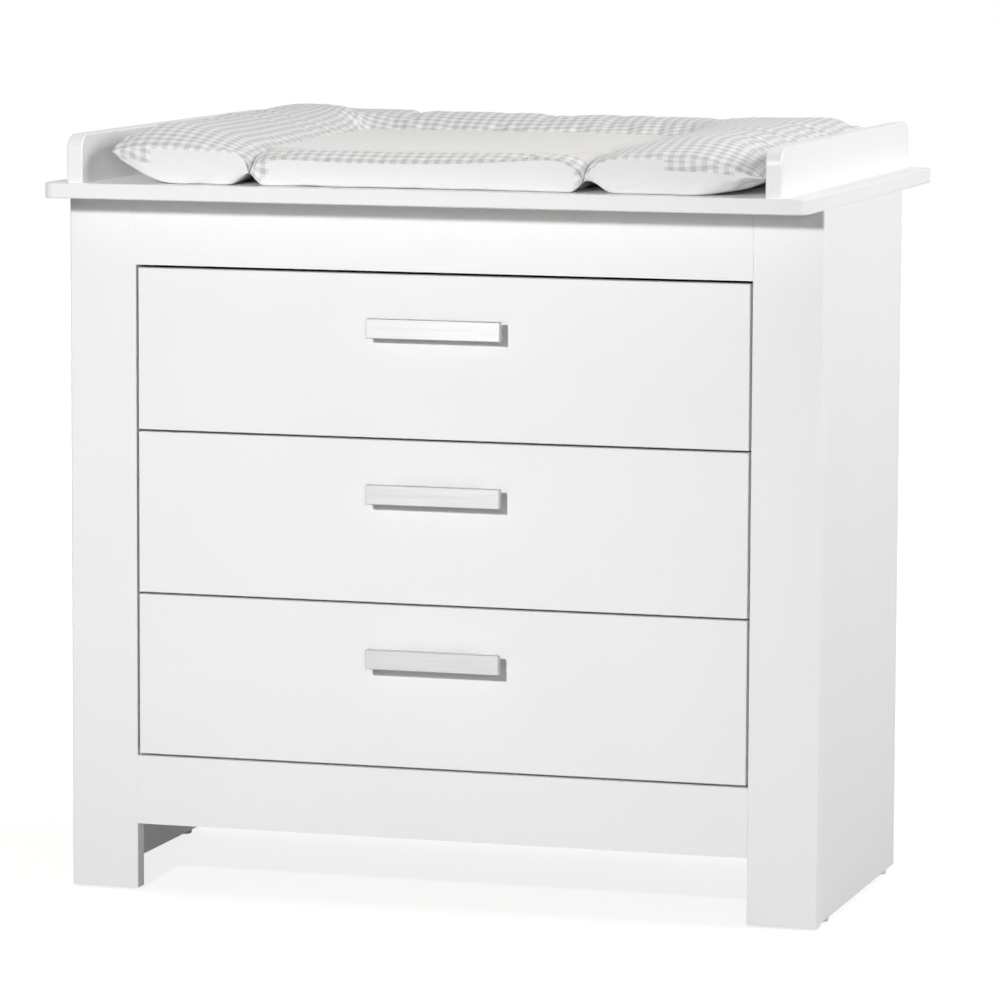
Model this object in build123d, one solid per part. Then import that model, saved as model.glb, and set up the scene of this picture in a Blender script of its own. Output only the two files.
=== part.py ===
from build123d import *
import os

# White changing table: a three-drawer chest with a framed front, an overhanging changing
# board between two low side rails, and a loose padded mat. Millimetres, +Z up. X runs
# across the front, -Y faces the user. The origin is on the floor, under the middle of
# the changing board.

# ---- Overall sizes ----
body_width = 970
body_depth = 440
board_top = 900             # working height: upper face of the changing board
front_overhang = 95         # changing board in front of the chest
rear_overhang = 185         # changing board behind the chest

# ---- Chest ----
drawer_count = 3
side_thickness = 19
frame_thickness = 22        # posts and rails of the front frame
post_width = 88
top_rail_height = 87
bottom_rail_height = 87
foot_clearance = 85         # floor to the bottom rail
post_floor_gap = 2
post_edge_radius = 3        # outer front arris of a post
edge_break = 0.8            # eased edges
panel_thickness = 19        # bottom panel, uprights and stretchers
bottom_panel_drop = 13      # bottom panel below the top of the bottom rail
stretcher_width = 100
back_thickness = 3
back_inset = 12             # back panel in front of the rear edges of the sides
groove_depth = 8
groove_clearance = 0.2
strip_width = 16            # strip that joins the two halves of the back
strip_wall = 1
glide_radius = 9
glide_height = 5
glide_rim = 1.2
glide_inset = 45            # glide centres from the ends of a side panel

# ---- Changing board and its rails ----
board_thickness = 19
board_corner_radius = 14
board_edge_break = 1.2
rail_height = 60
rail_thickness = 20
rail_inset = 31.5           # outer face of a rail from the end of the board
rail_end_inset = 4
rail_corner_radius = 20
rail_edge_break = 1.5

# ---- Drawers ----
drawer_gap = 3              # beside and below each front
top_gap = 4                 # above the top front
drawer_front_thickness = 19
drawer_side_thickness = 12
drawer_bottom_thickness = 4
drawer_rear_gap = 20        # drawer box to the back panel
side_below_front = 26       # lower edge of a front to the lower edge of its drawer sides
side_above_front = 36       # upper edge of the drawer sides to the upper edge of the front
back_drop = 12              # drawer back below the top of its sides
bottom_rise = 10            # drawer bottom above the lower edge of its sides
bottom_groove = 6
handle_length = 172
handle_height = 24.5
handle_thickness = 10
handle_standoff = 18        # clear finger gap behind the bar
handle_drop = 65            # handle centre below the top of its front
handle_foot_pitch = 128
handle_foot_width = 12
handle_foot_height = 16
handle_edge = 0.8

# ---- Roller runners: sheet steel members with nylon rollers ----
runner_gap = 12.5           # upright to drawer side
runner_sheet = 1.2
runner_bend = 1.6           # bend radius at the middle of the sheet
runner_end_gap = 8          # runner members short of the drawer sides at the rear
member_gap = 0.9            # cabinet member to drawer member
cabinet_lip = 2.5
drawer_rise = 3             # cabinet track above the lower edge of the drawer sides
drawer_flange_tip = 2.4     # tip of the drawer's track from the upright
drawer_foot = 11            # flange under the drawer side
roller_radius = 9.5
roller_start = 2.3          # roller face from the upright
roller_lip_gap = 0.3
roller_track_gap = 0.3
track_headroom = 0.8
roller_end_inset = 16       # roller centre from the end of its member
pin_radius = 3
pin_head_radius = 4.4
pin_head_thickness = 0.6
pin_side_gap = 0.2
bore_clearance = 0.06

# ---- Loose tongues that join the boards ----
tongue_thickness = 6
tongue_depth = 9            # in each of the two boards
tongue_clearance = 0.1
tongue_end_gap = 0.5
tongue_inset = 30           # ends of a tongue from the edges of its board
frame_tongue_thickness = 8
frame_tongue_depth = 20
frame_tongue_height = 56

# ---- Mat: a centre pad inside a left, a right and a rear bolster ----
mat_offset = 10             # the mat lies this far to the right of the middle
mat_width = 830
mat_depth = 675
mat_front_inset = 26        # mat behind the front edge of the board
left_bolster_width = 181    # at the front
left_bolster_rear_width = 158   # at the inner corner
right_bolster_width = 224
rear_bolster_depth = 150
bolster_height = 64
rear_bolster_height = 67
centre_height = 43
bolster_radius = 26
centre_radius = 12
soft_gap = 0.3

# ---- Places that follow from the sizes ----
board_depth = front_overhang + body_depth + rear_overhang
board_front = -board_depth / 2
front_y = board_front + front_overhang
back_y = front_y + body_depth
frame_back = front_y + frame_thickness
back_face = back_y - back_inset - back_thickness
body_top = board_top - board_thickness
half_body = body_width / 2
half_inside = half_body - side_thickness
half_opening = half_body - post_width
opening_bottom = foot_clearance + bottom_rail_height
opening_top = body_top - top_rail_height
bottom_top = opening_bottom - bottom_panel_drop
stretcher_bottom = body_top - panel_thickness
rail_middle = half_body - rail_inset - rail_thickness / 2

front_width = 2 * (half_opening - drawer_gap)
front_height = (opening_top - opening_bottom - top_gap) / drawer_count - drawer_gap
front_back = front_y + drawer_front_thickness
box_half = half_opening - runner_gap
box_rear = back_face - drawer_rear_gap
side_height = front_height - side_below_front - side_above_front
handle_face = front_y - handle_standoff

cabinet_flange = runner_gap - runner_sheet - member_gap
roller_width = cabinet_flange - runner_sheet - roller_lip_gap - roller_start
track_rise = 2 * (roller_track_gap + roller_radius)     # cabinet track to drawer track
cabinet_inner = track_rise + runner_sheet + track_headroom
cabinet_start = frame_back + 2
runner_rear = box_rear - runner_end_gap
front_roller_y = cabinet_start + roller_end_inset
rear_roller_y = runner_rear - roller_end_inset


# ---- Helpers ----
def board(x, y, z):
    """A flat board that fills the spans x, y and z, each given as (low, high)."""
    size = [span[1] - span[0] for span in (x, y, z)]
    return Pos(x[0], y[0], z[0]) * Box(*size, align=(Align.MIN, Align.MIN, Align.MIN))


def rod(centre, axis, radius, length):
    """A cylinder centred on a point, along 'X', 'Y' or 'Z'."""
    turn = {"X": Rot(0, 90, 0), "Y": Rot(90, 0, 0), "Z": Rot(0, 0, 0)}[axis]
    return Pos(*centre) * turn * Cylinder(radius, length)


def turned(*profile):
    """A solid of revolution about Z from (radius, height) points."""
    return revolve(Plane.XZ * make_face(Polyline(*profile, close=True)), Axis.Z)


def along_depth(section, y):
    """Extrude a section, drawn in X and Z, over a span of Y."""
    plane = Plane(origin=(0, y[1], 0), x_dir=(1, 0, 0), z_dir=(0, -1, 0))
    return extrude(plane * section, amount=y[1] - y[0])


def both_sides(piece):
    """A right-hand piece and its left-hand twin."""
    return [piece, mirror(piece, about=Plane.YZ)]


def save(name, pieces):
    """Write one node: a solid, or a group of separate solids."""
    solids = pieces if isinstance(pieces, list) else [pieces]
    shapes = [solid for piece in solids for solid in piece.solids()]
    shape = shapes[0] if len(shapes) == 1 else Compound(children=shapes)
    export_step(shape, f"parts/{name}.step")


def save_pair(name, piece):
    """Write a right-hand piece and its left-hand twin as two nodes."""
    right, left = both_sides(piece)
    save(f"{name}_right", right)
    save(f"{name}_left", left)


# ---- Tongues ----
def tongue(x, y, z, deep, gap):
    """A loose tongue across a joint, or with a gap the slots that house it. The spans are
    given as (low, high), and deep names the axis along which it enters the boards."""
    spans = []
    for name, (low, high) in zip("XYZ", (x, y, z)):
        grow = (tongue_end_gap if name == deep else tongue_clearance) if gap else 0
        spans.append((low - grow, high + grow))
    return board(*spans)


def around(middle, half):
    """The span this far to each side of a middle."""
    return middle - half, middle + half


def frame_tongues(gap=False):
    """From the posts into the ends of the top and bottom rails."""
    y = around(front_y + frame_thickness / 2, frame_tongue_thickness / 2)
    return [tongue(around(x, frame_tongue_depth), y, around(z, frame_tongue_height / 2), "X", gap)
            for x in (-half_opening, half_opening)
            for z in (foot_clearance + bottom_rail_height / 2, opening_top + top_rail_height / 2)]


def post_tongues(gap=False):
    """Long ones from the posts into the side panels."""
    x = half_body - side_thickness / 2
    return [tongue(around(side * x, tongue_thickness / 2), around(frame_back, tongue_depth),
                   (foot_clearance, opening_top), "Y", gap) for side in (-1, 1)]


def panel_tongues(gap=False):
    """From the bottom panel and the stretchers into the side panels."""
    panels = [(frame_back, back_face, bottom_top - panel_thickness / 2),
              (frame_back, frame_back + stretcher_width, body_top - panel_thickness / 2),
              (back_face - stretcher_width, back_face, body_top - panel_thickness / 2)]
    return [tongue(around(side * half_inside, tongue_depth),
                   (front + tongue_inset, rear - tongue_inset),
                   around(z, tongue_thickness / 2), "X", gap)
            for side in (-1, 1) for front, rear, z in panels]


def side_rail_tongues(gap=False):
    """From the changing board up into the side rails."""
    reach = -board_front - rail_end_inset - rail_corner_radius - tongue_inset
    return [tongue(around(side * rail_middle, tongue_thickness / 2), (-reach, reach),
                   around(board_top, tongue_depth), "Z", gap) for side in (-1, 1)]


# ---- Chest boards ----
def glide_rows():
    """Y of the glides under each side panel."""
    return frame_back + glide_inset, back_y - glide_inset


def side_panel():
    """Right-hand side, behind its post, grooved for the back."""
    panel = board((half_inside, half_body), (frame_back, back_y), (glide_height, body_top))
    panel = chamfer(panel.edges().filter_by(Axis.Z).group_by(Axis.Y)[-1], edge_break)
    groove_y = (back_face - groove_clearance, back_face + back_thickness + groove_clearance)
    panel -= board((half_inside, half_inside + groove_depth), groove_y, (0, body_top))
    return panel - (post_tongues(gap=True) + panel_tongues(gap=True))


def front_post():
    """Right-hand post of the front frame, its outer arris softly rounded."""
    post = board((half_opening, half_body), (front_y, frame_back), (post_floor_gap, body_top))
    outer = post.edges().filter_by(Axis.Z).group_by(Axis.X)[-1].sort_by(Axis.Y)[0]
    post = fillet(outer, post_edge_radius)
    inner = post.edges().filter_by(Axis.Z).group_by(Axis.X)[0].sort_by(Axis.Y)[0]
    post = chamfer(inner, edge_break)
    return post - (post_tongues(gap=True) + frame_tongues(gap=True))


def frame_rail(low, high):
    """Rail between the posts, flush with them."""
    rail = board((-half_opening, half_opening), (front_y, frame_back), (low, high))
    return rail - frame_tongues(gap=True)


def level_board(y, z):
    """A level board between the side panels, notched for the back's joining strip."""
    half = strip_width / 2 + groove_clearance
    notch_y = (back_face - strip_wall - 2 * groove_clearance, back_face)
    panel = board((-half_inside, half_inside), y, z) - board((-half, half), notch_y, z)
    return panel - panel_tongues(gap=True)


def bottom_panel():
    return level_board((frame_back, back_face), (bottom_top - panel_thickness, bottom_top))


def stretcher(y):
    """Cross board under the changing board."""
    return level_board(y, (stretcher_bottom, body_top))


def upright():
    """Right-hand inner upright, flush with the opening; it carries the runners."""
    return board((half_opening, half_opening + panel_thickness), (frame_back, back_face),
                 (bottom_top, stretcher_bottom))


def back_halves():
    """The two hardboard halves of the back, in the side grooves and the joining strip."""
    x = (strip_wall, half_inside + groove_depth - 2 * groove_clearance)
    y = (back_face, back_face + back_thickness)
    return both_sides(board(x, y, (bottom_top - panel_thickness, body_top)))


def back_strip():
    """H-section strip that joins the halves of the back."""
    slot = back_thickness + 2 * groove_clearance
    section = Rectangle(2 * (strip_wall - groove_clearance), slot)
    for side in (-1, 1):
        section += Pos(0, side * (slot + strip_wall) / 2) * Rectangle(strip_width, strip_wall)
    low = bottom_top - panel_thickness
    place = Pos(0, back_face + back_thickness / 2, low)
    return place * extrude(section, amount=body_top - low)


def glide(side, y):
    """Glide: a shallow disc with a broken lower rim."""
    disc = turned((0, 0), (glide_radius - glide_rim, 0), (glide_radius, glide_rim),
                  (glide_radius, glide_height), (0, glide_height))
    return Pos(side * (half_body - side_thickness / 2), y, 0) * disc


# ---- Changing board ----
def changing_board():
    """Changing board with rounded corners and eased rims."""
    plate = RectangleRounded(body_width, board_depth, board_corner_radius)
    plate = Pos(0, 0, body_top) * extrude(plate, amount=board_thickness)
    rims = plate.edges().group_by(Axis.Z)
    plate = chamfer(rims[0] + rims[-1], board_edge_break)
    return plate - side_rail_tongues(gap=True)


def side_rail():
    """Right-hand rail on the changing board: a low board with rounded upper corners."""
    length = board_depth - 2 * rail_end_inset
    outline = Pos(0, board_top + rail_height / 2) * Rectangle(length, rail_height)
    outline = fillet(outline.vertices().group_by(Axis.Y)[-1], rail_corner_radius)
    plane = Plane(origin=(rail_middle - rail_thickness / 2, 0, 0), x_dir=(0, 1, 0),
                  z_dir=(1, 0, 0))
    rail = extrude(plane * outline, amount=rail_thickness)
    rims = [edge for face in rail.faces().filter_by(Axis.X) for edge in face.edges()]
    rail = chamfer([rim for rim in rims if rim.center().Z > board_top + 1], rail_edge_break)
    return rail - side_rail_tongues(gap=True)


# ---- Runners ----
def track_height(index):
    """Z of the cabinet track of a drawer, counted from the top."""
    return front_low(index) + side_below_front + drawer_rise


def runner_x(depth):
    """X at a depth from the right-hand upright towards the drawer."""
    return half_opening - depth


def bent_sheet(*path):
    """Section of folded sheet steel along a path of (X, Z) points."""
    return trace(FilletPolyline(*path, radius=runner_bend), runner_sheet)


def cabinet_member(track_z):
    """Right-hand cabinet member: a C-section track with a lip, and its roller pin."""
    half = runner_sheet / 2
    web = runner_x(half)
    lip = runner_x(cabinet_flange - half)
    low = track_z - half
    high = track_z + cabinet_inner + half
    section = bent_sheet((lip, track_z + cabinet_lip), (lip, low), (web, low), (web, high),
                         (runner_x(cabinet_flange), high))
    head = roller_start + roller_width + pin_side_gap
    return along_depth(section, (cabinet_start, runner_rear)) + roller_pin(
        half, head, head + pin_head_thickness, front_roller_y, track_z)


def drawer_member(track_z):
    """Right-hand drawer member: angle under the drawer side, track flange and roller pin."""
    half = runner_sheet / 2
    web = runner_x(runner_gap - half)
    track = track_z + track_rise + half
    foot = track_z - drawer_rise - half
    section = bent_sheet((runner_x(runner_gap + drawer_foot), foot), (web, foot), (web, track),
                         (runner_x(drawer_flange_tip), track))
    head = roller_start - pin_side_gap
    return along_depth(section, (front_back + 1, runner_rear)) + roller_pin(
        runner_gap - half, head, head - pin_head_thickness, rear_roller_y, track_z)


def roller_pin(root, head, end, y, track_z):
    """Riveted pin from the web of a member, with a head that keeps the roller on."""
    z = track_z + track_rise / 2
    shank = rod((runner_x((root + head) / 2), y, z), "X", pin_radius, abs(head - root))
    cap = rod((runner_x((head + end) / 2), y, z), "X", pin_head_radius, abs(end - head))
    return shank + cap


def rollers(y, track_z):
    """Right-hand and left-hand nylon rollers on one axis."""
    centre = (runner_x(roller_start + roller_width / 2), y, track_z + track_rise / 2)
    wheel = rod(centre, "X", roller_radius, roller_width)
    return both_sides(wheel - rod(centre, "X", pin_radius + bore_clearance, 2 * roller_width))


# ---- Drawers ----
def front_low(index):
    """Lower edge of a drawer front, counted from the top."""
    return opening_top - top_gap - front_height - index * (front_height + drawer_gap)


def side_low(index):
    """Lower edge of the drawer sides."""
    return front_low(index) + side_below_front


def drawer_bottom(index, gap=0):
    """Drawer bottom, or with a gap the grooves that house it."""
    low = side_low(index) + bottom_rise
    half = box_half - drawer_side_thickness + bottom_groove + gap
    return board((-half, half), (front_back - bottom_groove - gap, box_rear + gap),
                 (low - gap, low + drawer_bottom_thickness + gap))


def drawer_front(index):
    """Drawer front with eased edges, grooved for the bottom."""
    low = front_low(index)
    front = board((-front_width / 2, front_width / 2), (front_y, front_back),
                  (low, low + front_height))
    front = chamfer(front.faces().sort_by(Axis.Y)[0].edges(), edge_break)
    return front - drawer_bottom(index, groove_clearance)


def drawer_side(index):
    """Right-hand drawer side, grooved for the bottom, its lower arris clear of the bend."""
    low = side_low(index)
    side = board((box_half - drawer_side_thickness, box_half), (front_back, box_rear),
                 (low, low + side_height))
    lower = side.edges().filter_by(Axis.Y).group_by(Axis.Z)[0].sort_by(Axis.X)[-1]
    return chamfer(lower, runner_bend) - drawer_bottom(index, groove_clearance)


def drawer_back(index):
    """Drawer back between the sides, standing on the bottom."""
    low = side_low(index) + bottom_rise + drawer_bottom_thickness
    half = box_half - drawer_side_thickness
    return board((-half, half), (box_rear - drawer_side_thickness, box_rear),
                 (low, side_low(index) + side_height - back_drop))


def handle(index):
    """Flat aluminium bar on two feet."""
    z = front_low(index) + front_height - handle_drop
    bar = board((-handle_length / 2, handle_length / 2),
                (handle_face - handle_thickness, handle_face),
                (z - handle_height / 2, z + handle_height / 2))
    bar = chamfer(bar.edges(), handle_edge)
    for x in (-handle_foot_pitch / 2, handle_foot_pitch / 2):
        foot = Pos(x, z) * Rectangle(handle_foot_width, handle_foot_height)
        bar += along_depth(foot, (handle_face, front_y))
    return bar


# ---- Mat ----
def cushion(outline, high, radius):
    """A plain soft solid just above the changing board, its two longest upper edges rounded."""
    base = offset(Polygon(*outline, align=None), -soft_gap / 2, kind=Kind.INTERSECTION)
    solid = Pos(0, 0, board_top + soft_gap) * extrude(base, amount=high - soft_gap)
    upper = solid.faces().sort_by(Axis.Z)[-1].edges()
    return fillet(upper.sort_by(SortBy.LENGTH)[-2:], radius)


def make_mat():
    """The seams run from the front to two inner corners, and from there to the rear corners."""
    left = mat_offset - mat_width / 2
    right = left + mat_width
    front = board_front + mat_front_inset
    rear = front + mat_depth
    rear_start = rear - rear_bolster_depth
    front_left = (left, front)
    front_right = (right, front)
    rear_left = (left, rear)
    rear_right = (right, rear)
    seam_left = (left + left_bolster_width, front)
    seam_right = (right - right_bolster_width, front)
    inner_left = (left + left_bolster_rear_width, rear_start)
    inner_right = (right - right_bolster_width, rear_start)
    save("mat_left_bolster", cushion((front_left, seam_left, inner_left, rear_left),
                                     bolster_height, bolster_radius))
    save("mat_right_bolster", cushion((seam_right, front_right, rear_right, inner_right),
                                      bolster_height, bolster_radius))
    save("mat_rear_bolster", cushion((inner_left, inner_right, rear_right, rear_left),
                                     rear_bolster_height, bolster_radius))
    save("mat_centre", cushion((seam_left, seam_right, inner_right, inner_left),
                               centre_height, centre_radius))


# ---- Assembly ----
def make_chest():
    save_pair("side_panel", side_panel())
    save_pair("front_post", front_post())
    save_pair("inner_upright", upright())
    save("top_rail", frame_rail(opening_top, body_top))
    save("bottom_rail", frame_rail(foot_clearance, opening_bottom))
    save("bottom_panel", bottom_panel())
    save("front_stretcher", stretcher((frame_back, frame_back + stretcher_width)))
    save("rear_stretcher", stretcher((back_face - stretcher_width, back_face)))
    save("back_panel", back_halves())
    save("back_joining_strip", back_strip())
    save("front_frame_tongues", frame_tongues() + post_tongues())
    save("panel_tongues", panel_tongues())
    save("floor_glides", [glide(side, y) for side in (-1, 1) for y in glide_rows()])


def make_top():
    save("changing_board", changing_board())
    save_pair("side_rail", side_rail())
    save("side_rail_tongues", side_rail_tongues())


def make_drawer(index):
    name = f"drawer_{index + 1}"
    track_z = track_height(index)
    save(f"{name}_front", drawer_front(index))
    save_pair(f"{name}_side", drawer_side(index))
    save(f"{name}_back", drawer_back(index))
    save(f"{name}_bottom", drawer_bottom(index))
    save(f"{name}_handle", handle(index))
    save(f"{name}_runners", both_sides(drawer_member(track_z)))
    save(f"{name}_rear_rollers", rollers(rear_roller_y, track_z))
    save(f"{name}_front_rollers", rollers(front_roller_y, track_z))


os.makedirs("parts", exist_ok=True)
make_chest()
make_top()
make_mat()
members = []
for drawer in range(drawer_count):
    make_drawer(drawer)
    members += both_sides(cabinet_member(track_height(drawer)))
save("cabinet_runners", members)
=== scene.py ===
"""Finishes, mat and screws for a white changing table with three drawers."""
import math

import bmesh
import bpy
from mathutils import Matrix, Vector, noise


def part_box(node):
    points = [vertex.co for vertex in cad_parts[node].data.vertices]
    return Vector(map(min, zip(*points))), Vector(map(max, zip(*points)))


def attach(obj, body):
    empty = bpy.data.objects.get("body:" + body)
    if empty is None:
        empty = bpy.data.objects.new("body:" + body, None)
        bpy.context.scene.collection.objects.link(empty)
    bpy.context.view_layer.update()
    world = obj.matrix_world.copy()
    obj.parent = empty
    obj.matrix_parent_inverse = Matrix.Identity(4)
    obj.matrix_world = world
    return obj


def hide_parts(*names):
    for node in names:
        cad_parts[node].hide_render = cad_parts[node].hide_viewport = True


bl_info = {
    "name": "Changing table finishes",
    "version": (1, 0, 0),
    "blender": (4, 5, 0),
    "location": "View3D > Sidebar > Changing table",
    "description": "Lacquer, metal, screws and a sewn mat for a changing table",
    "category": "Object",
}

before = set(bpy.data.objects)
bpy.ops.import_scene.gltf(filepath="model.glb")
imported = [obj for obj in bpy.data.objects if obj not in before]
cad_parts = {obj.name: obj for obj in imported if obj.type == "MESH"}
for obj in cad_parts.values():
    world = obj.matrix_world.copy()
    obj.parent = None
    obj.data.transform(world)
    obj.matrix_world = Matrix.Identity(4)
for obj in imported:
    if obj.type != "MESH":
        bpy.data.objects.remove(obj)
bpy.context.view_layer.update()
MM = 0.001
DRAWERS = (1, 2, 3)


def linear(code):
    """An sRGB hex colour as the linear values that the shaders take."""
    parts = [int(code[i:i + 2], 16) / 255 for i in (0, 2, 4)]
    return tuple(c / 12.92 if c <= 0.04045 else ((c + 0.055) / 1.055) ** 2.4 for c in parts)


# ---- What a user would change ----
def colour(name, code, description):
    return bpy.props.FloatVectorProperty(
        name=name, description=description, default=linear(code), size=3,
        subtype="COLOR", min=0, max=1)


def length(name, value, description):
    return bpy.props.FloatProperty(
        name=name, description=description, default=value, min=0, unit="LENGTH")


def power(name, value, description):
    return bpy.props.FloatProperty(
        name=name, description=description, default=value, min=0, unit="POWER")


class TableColours(bpy.types.PropertyGroup):
    lacquer: colour("Lacquer", "F9F9F9", "Sprayed lacquer on the front frame and drawer fronts")
    foil: colour("Foil", "F8F8F8", "Foil on the particle board panels")
    hardboard: colour("Hardboard", "E9E8E5", "Painted face of the back and drawer bottoms")
    tongue: colour("Tongues", "C9A679", "Beech tongues inside the joints")
    steel_paint: colour("Runner paint", "E4E4E1", "Powder coat on the runners")
    nylon: colour("Nylon", "E9E7DE", "Rollers inside the runners")
    aluminium: colour("Aluminium", "BFBFBF", "Brushed bar handles")
    zinc: colour("Zinc", "B9BCC0", "Zinc plate on the screws")
    check_white: colour("Check, white", "F9F9F9", "White threads of the check")
    check_grey: colour("Check, grey", "CCCDCC", "Grey threads of the check")
    calico: colour("Underside", "F7F7F7", "Plain cotton under the mat")
    terry: colour("Terry", "EAE7E1", "Looped cloth in the middle of the mat")
    floor: colour("Floor", "8A8986", "Studio floor")


class TableMat(bpy.types.PropertyGroup):
    check_pitch: length("Check", 14 * MM, "Width of one white and one grey stripe")
    thread: length("Thread", 1.6 * MM, "Spacing of the drawn weave, coarse enough to show")
    terry_loop: length("Loop", 2.4 * MM, "Spacing of the drawn terry loops")
    front_strip: length("Front strip", 34 * MM, "Check along the front of the centre pad")
    swell: length("Swell", 6 * MM, "Furthest that a tight filling may push the cloth")
    pucker: length("Pucker", 1.3 * MM, "Height of the gathers beside a seam")
    tack: length("Tack", 8 * MM, "Width of a tack of thread in an inner corner")
    pressure: bpy.props.FloatProperty(
        name="Filling", description="Pressure of the filling", default=4, min=0)


class TableScrews(bpy.types.PropertyGroup):
    head_radius: length("Head radius", 4 * MM, "Pan head of a handle screw")
    head_height: length("Head height", 2.3 * MM, "Pan head of a handle screw")
    recess: length("Recess", 4.4 * MM, "Length of the cross recess")


class TableStage(bpy.types.PropertyGroup):
    key: power("Key light", 318, "Shaded lamp in front, above the top of the table")
    fill: power("Fill light", 24, "Weak lamp ahead of the camera, to its right")
    side: power("Side light", 50, "Soft light from the right")
    top: power("Top light", 6, "Soft light from above")
    sky: bpy.props.FloatProperty(
        name="Room light", description="Light of the walls behind, on the left and above",
        default=0.75, min=0)
    lens: bpy.props.FloatProperty(
        name="Lens", description="Focal length in millimetres", default=195.1, min=1)


# ---- Small helpers ----
def deselect():
    if bpy.context.object and bpy.context.object.mode != "OBJECT":
        bpy.ops.object.mode_set(mode="OBJECT")
    bpy.ops.object.select_all(action="DESELECT")


def pick(piece):
    """Make one piece the active and only selected one."""
    deselect()
    piece.select_set(True)
    bpy.context.view_layer.objects.active = piece


def add_node(tree, kind, settings=(), links=()):
    """Add a node, set its inputs or properties by name, and link its inputs from sockets."""
    made = tree.nodes.new(kind)
    for key, value in dict(settings).items():
        if isinstance(key, int) or key in made.inputs:
            made.inputs[key].default_value = value
        else:
            setattr(made, key, value)
    for key, source in dict(links).items():
        tree.links.new(source, made.inputs[key])
    return made


def new_material(name, base, roughness, **sockets):
    """A material with its shader, given its constant values."""
    material = bpy.data.materials.new(name)
    material.use_nodes = True
    shader = material.node_tree.nodes["Principled BSDF"]
    shader.inputs["Base Color"].default_value = (*base, 1)
    shader.inputs["Roughness"].default_value = roughness
    for key, value in sockets.items():
        shader.inputs[key.replace("_", " ")].default_value = value
    return material, material.node_tree, shader


def stretched(tree, scale):
    """Object coordinates scaled along each axis. Less than 1 draws a pattern out."""
    place = add_node(tree, "ShaderNodeTexCoord")
    return add_node(tree, "ShaderNodeMapping", {"Scale": scale},
                    {"Vector": place.outputs["Object"]}).outputs["Vector"]


def shades(tree, factor, first, last, low=0.3, high=0.7):
    """A ramp from the first colour, at the low value, to the last, at the high one."""
    ramp = add_node(tree, "ShaderNodeValToRGB", links={"Fac": factor})
    for stop, place, value in zip(ramp.color_ramp.elements, (low, high), (first, last)):
        stop.position = place
        stop.color = (*value, 1)
    return ramp.outputs["Color"]


def span(tree, factor, low, high):
    """A 0 to 1 value mapped to a range."""
    made = add_node(tree, "ShaderNodeMapRange", {"To Min": low, "To Max": high},
                    {"Value": factor})
    return made.outputs["Result"]


def bump(tree, shader, height, distance):
    """Raise the surface by a pattern, as far as the distance."""
    made = add_node(tree, "ShaderNodeBump", {"Strength": 1.0, "Distance": distance},
                    {"Height": height})
    tree.links.new(made.outputs["Normal"], shader.inputs["Normal"])


def tone(base, factor):
    """A colour made darker or lighter."""
    return tuple(min(1.0, c * factor) for c in base)


def coat(material, *names):
    """Give a material to CAD nodes."""
    for name in names:
        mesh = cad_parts[name].data
        mesh.materials.clear()
        mesh.materials.append(material)


def per_drawer(*kinds):
    return [f"drawer_{i}_{kind}" for i in DRAWERS for kind in kinds]


# ---- Board and metal finishes ----
def sprayed_lacquer(base):
    """Satin lacquer sprayed on fibreboard: the eye gets a soft sheen with a faint ripple,
    the orange peel of sprayed paint, about 3 mm across."""
    material, tree, shader = new_material("Sprayed satin lacquer", base, 0.4)
    peel = add_node(tree, "ShaderNodeTexNoise", {"Scale": 1 / (3 * MM), "Detail": 1.0},
                    {"Vector": stretched(tree, (1, 1, 1))}).outputs["Fac"]
    cloud = add_node(tree, "ShaderNodeTexNoise", {"Scale": 6.0, "Detail": 2.0},
                     {"Vector": stretched(tree, (1, 1, 1))}).outputs["Fac"]
    tree.links.new(shades(tree, cloud, tone(base, 0.985), base), shader.inputs["Base Color"])
    tree.links.new(span(tree, cloud, 0.36, 0.44), shader.inputs["Roughness"])
    bump(tree, shader, peel, 0.012 * MM)
    return material


def pressed_foil(base):
    """Decor foil pressed on particle board: a little flatter than lacquer, with a fine
    pebbled grain about 1 mm across."""
    material, tree, shader = new_material("Pressed white foil", base, 0.48)
    pebble = add_node(tree, "ShaderNodeTexVoronoi", {"Scale": 1 / (1.2 * MM)},
                      {"Vector": stretched(tree, (1, 1, 1))}).outputs["Distance"]
    cloud = add_node(tree, "ShaderNodeTexNoise", {"Scale": 5.0, "Detail": 2.0},
                     {"Vector": stretched(tree, (1, 1, 1))}).outputs["Fac"]
    tree.links.new(shades(tree, cloud, tone(base, 0.985), base), shader.inputs["Base Color"])
    tree.links.new(span(tree, cloud, 0.44, 0.52), shader.inputs["Roughness"])
    bump(tree, shader, pebble, 0.015 * MM)
    return material


def painted_hardboard(base):
    """Thin painted hardboard: matt, with the felted fibre of the pressed pulp, in tufts 4 mm
    wide and 11 mm long."""
    material, tree, shader = new_material("Painted hardboard", base, 0.62)
    fibre = add_node(tree, "ShaderNodeTexNoise", {"Scale": 1 / (4 * MM), "Detail": 4.0},
                     {"Vector": stretched(tree, (1, 1, 0.35))}).outputs["Fac"]
    tree.links.new(shades(tree, fibre, tone(base, 0.95), base), shader.inputs["Base Color"])
    bump(tree, shader, fibre, 0.03 * MM)
    return material


def moulded(name, base, roughness, grain):
    """Moulded, extruded or turned plastic: even colour, with a soft fine grain."""
    material, tree, shader = new_material(name, base, roughness)
    speck = add_node(tree, "ShaderNodeTexNoise", {"Scale": 1 / grain, "Detail": 2.0},
                     {"Vector": stretched(tree, (1, 1, 1))}).outputs["Fac"]
    tree.links.new(shades(tree, speck, tone(base, 0.96), base), shader.inputs["Base Color"])
    tree.links.new(span(tree, speck, roughness - 0.05, roughness + 0.05),
                   shader.inputs["Roughness"])
    bump(tree, shader, speck, 0.02 * MM)
    return material


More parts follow.
